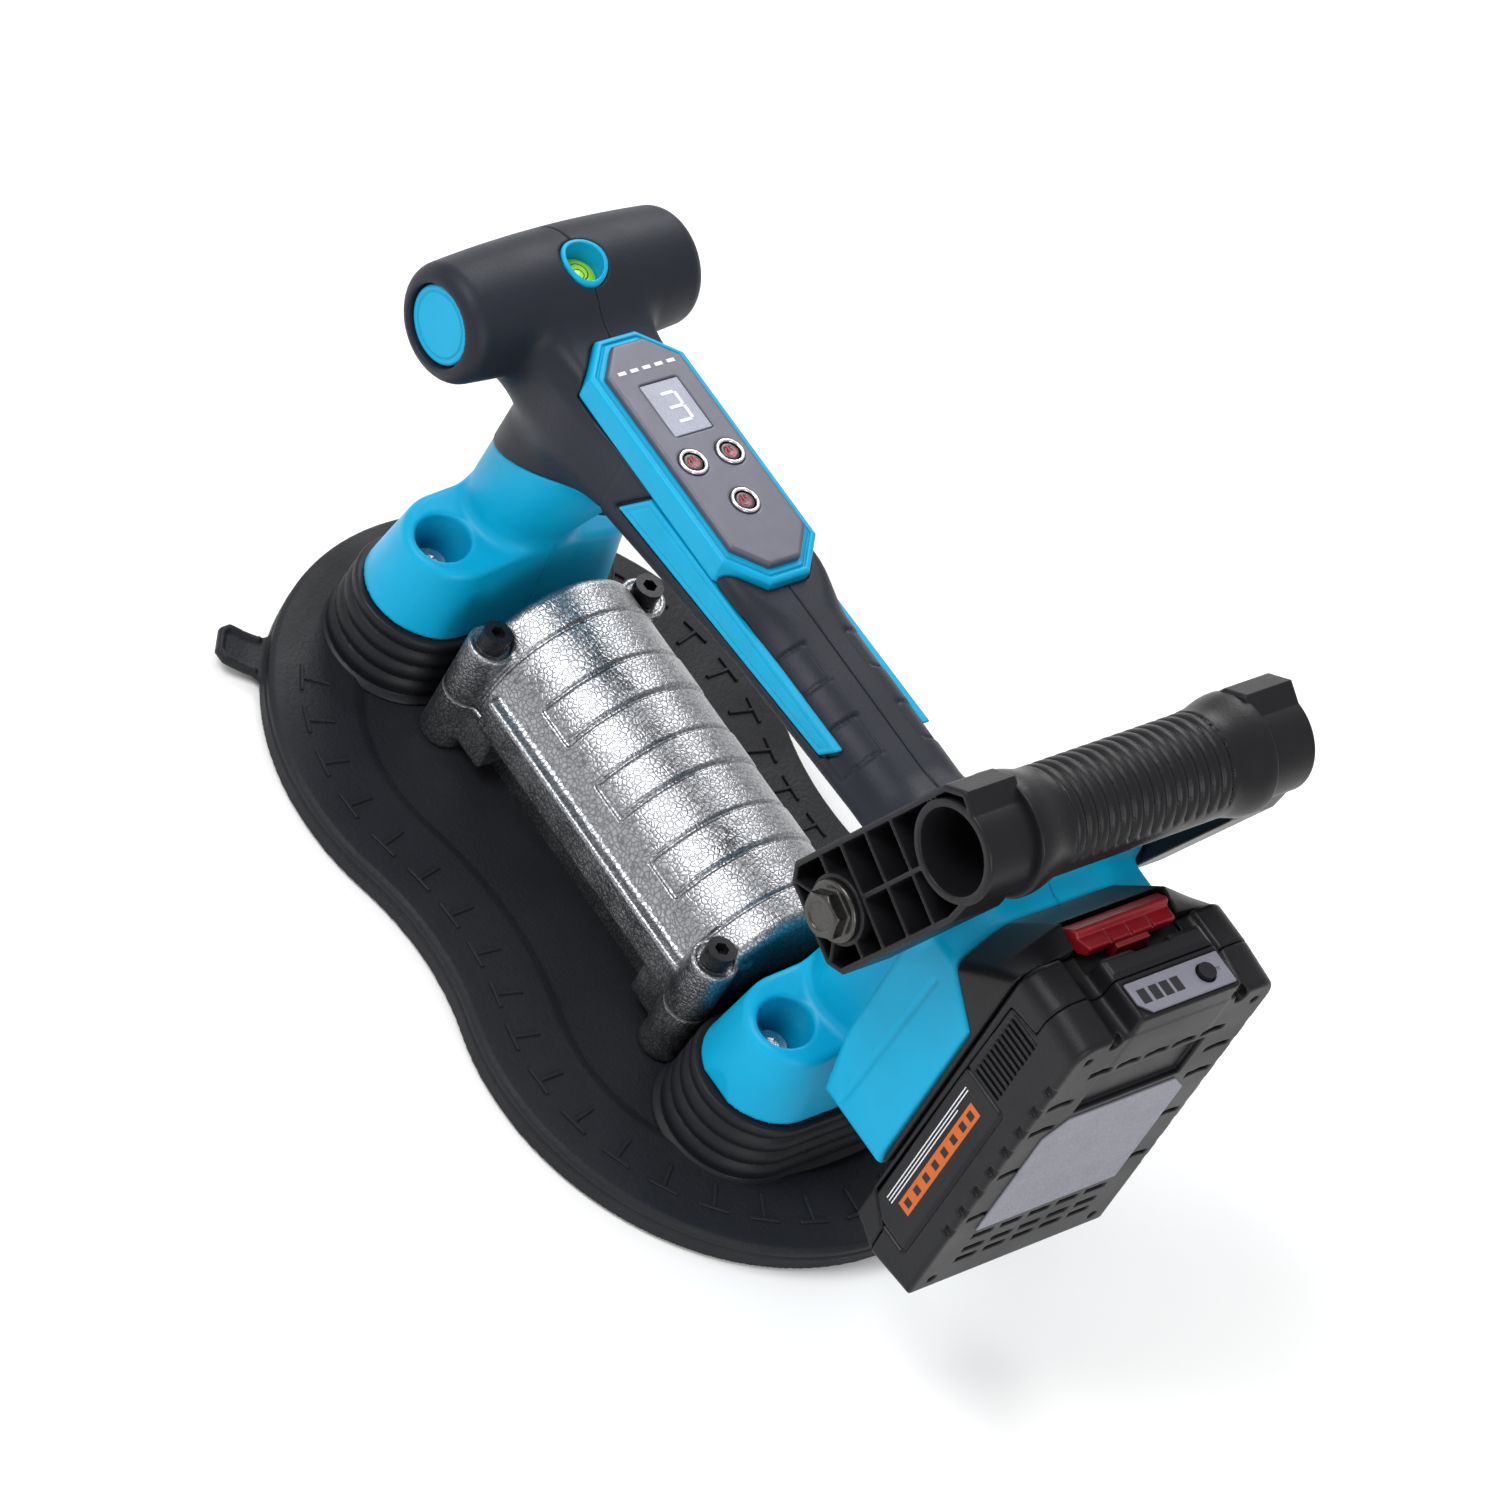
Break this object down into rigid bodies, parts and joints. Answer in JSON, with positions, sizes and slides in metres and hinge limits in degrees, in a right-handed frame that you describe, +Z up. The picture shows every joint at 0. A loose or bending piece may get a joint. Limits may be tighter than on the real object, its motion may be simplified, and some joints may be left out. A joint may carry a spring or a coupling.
{
  "type": "cordless tile vibrator",
  "caption": "Cordless tile-laying vibrator: suction base with a vibration motor, T-shaped grip on rubber bellows, folding second handle and slide-on battery.",
  "frame": {"origin": "centre of the base's underside, on the tile face", "axes": "+X from the T bar towards the battery, +Y sideways along the T bar, +Z up out of the tile"},
  "size_m": [0.3034, 0.164, 0.204],
  "materials": {
    "rubber_black": "black moulded rubber, fine grain on the band",
    "foam_black": "soft closed-cell sealing foam",
    "plate_aluminium": "flat rolled plate",
    "cast_aluminium": "die casting with a crackled silver lacquer",
    "gasket_paper": "thin gasket",
    "black_steel": "black-oxide steel screws",
    "bright_steel": "bright steel",
    "magnet": "sintered ferrite",
    "brass": "brass",
    "copper": "copper segments",
    "grey_plastic": "moulded plastic",
    "blue_plastic": "cyan-blue moulded plastic, fine texture",
    "overmould": "charcoal soft-touch overmould",
    "black_plastic": "black moulded plastic",
    "red_plastic": "red moulded plastic",
    "level_fluid": "clear vial with yellow-green fluid",
    "overlay": "grey-violet printed overlay",
    "display": "pale display window",
    "chrome": "bright ring",
    "button": "dark button cap",
    "board": "green circuit board",
    "wire": "insulated wire",
    "hose": "silicone hose",
    "label_grey": "silver-violet plate",
    "cell_wrap": "shrink-wrapped cells"
  },
  "bodies": {
    "base": {"suction_skirt": "rubber_black", "sealing_ring": "foam_black", "base_plate": "plate_aluminium", "contact_pad": "foam_black", "suction_port": "brass", "mount_posts": "bright_steel", "rubber_springs": "rubber_black", "foot_screws": "bright_steel", "front_bellows": "rubber_black", "rear_bellows": "rubber_black", "motor_lower_housing": "cast_aluminium", "housing_gasket": "gasket_paper", "motor_upper_housing": "cast_aluminium", "housing_screws": "black_steel", "motor_can": "bright_steel", "brush_holder": "grey_plastic", "field_magnets": "magnet", "rotor_bearings": "bright_steel"},
    "rotor": {"rotor_shaft": "bright_steel", "rotor_core": "magnet", "commutator": "copper", "eccentric_weights": "bright_steel"},
    "handle": {"handle_shell_left": "blue_plastic", "handle_shell_right": "blue_plastic", "overmould_left": "overmould", "overmould_right": "overmould", "bar_end_cap_left": "blue_plastic", "bar_end_cap_right": "blue_plastic", "side_inlay_left": "blue_plastic", "side_inlay_right": "blue_plastic", "level_bezel": "blue_plastic", "level_vial": "level_fluid", "panel_frame": "blue_plastic", "panel_overlay": "overlay", "display_module": "display", "button_rings": "chrome", "control_board": "board", "tact_switches": "grey_plastic", "drive_board": "board", "power_leads": "wire", "pump_motor": "bright_steel", "pump_head": "grey_plastic", "suction_hose": "hose", "case_screws": "black_steel", "battery_dock": "black_plastic", "dock_terminals": "brass", "pivot_bolts": "black_steel"},
    "aux_handle": {"aux_handle": "black_plastic"},
    "battery": {"battery_upper_case": "black_plastic", "battery_lower_case": "black_plastic", "battery_cells": "cell_wrap", "cell_straps": "bright_steel", "battery_contacts": "brass", "rating_plate": "label_grey", "gauge_plate": "label_grey"},
    "gauge_button": {"gauge_button": "black_plastic"},
    "release_button": {"release_button": "red_plastic"},
    "level_button": {"level_button": "button"},
    "suction_button": {"suction_button": "button"},
    "power_button": {"power_button": "button"}
  },
  "joints": [
    {"name": "rotor_spin", "type": "hinge", "parent": "base", "child": "rotor", "pos_m": [0, 0, 0.031], "axis": [1, 0, 0], "continuous": true},
    {"name": "handle_float", "type": "slide", "parent": "base", "child": "handle", "axis": [0, 0, 1], "range_m": [-0.003, 0.002], "stiffness_N_per_m": 30000, "springref_m": 0.0005, "deforming": ["front_bellows", "rear_bellows", "rubber_springs", "suction_hose"]},
    {"name": "aux_handle_fold", "type": "hinge", "parent": "handle", "child": "aux_handle", "pos_m": [0.0915, 0, 0.137], "axis": [0, 1, 0], "range_deg": [-90, 2]},
    {"name": "battery_slide", "type": "slide", "parent": "handle", "child": "battery", "axis": [0, 0, 1], "range_m": [0, 0.1]},
    {"name": "release_press", "type": "slide", "parent": "battery", "child": "release_button", "axis": [1, 0, 0], "range_m": [0, 0.004], "stiffness_N_per_m": 400, "springref_m": -0.002},
    {"name": "gauge_press", "type": "slide", "parent": "battery", "child": "gauge_button", "axis": [0, 0, -1], "range_m": [0, 0.001], "stiffness_N_per_m": 300, "springref_m": -0.001},
    {"name": "level_press", "type": "slide", "parent": "handle", "child": "level_button", "axis": [0, 0, -1], "range_m": [0, 0.001], "stiffness_N_per_m": 300, "springref_m": -0.001},
    {"name": "suction_press", "type": "slide", "parent": "handle", "child": "suction_button", "axis": [0, 0, -1], "range_m": [0, 0.001], "stiffness_N_per_m": 300, "springref_m": -0.001},
    {"name": "power_press", "type": "slide", "parent": "handle", "child": "power_button", "axis": [0, 0, -1], "range_m": [0, 0.001], "stiffness_N_per_m": 300, "springref_m": -0.001}
  ]
}
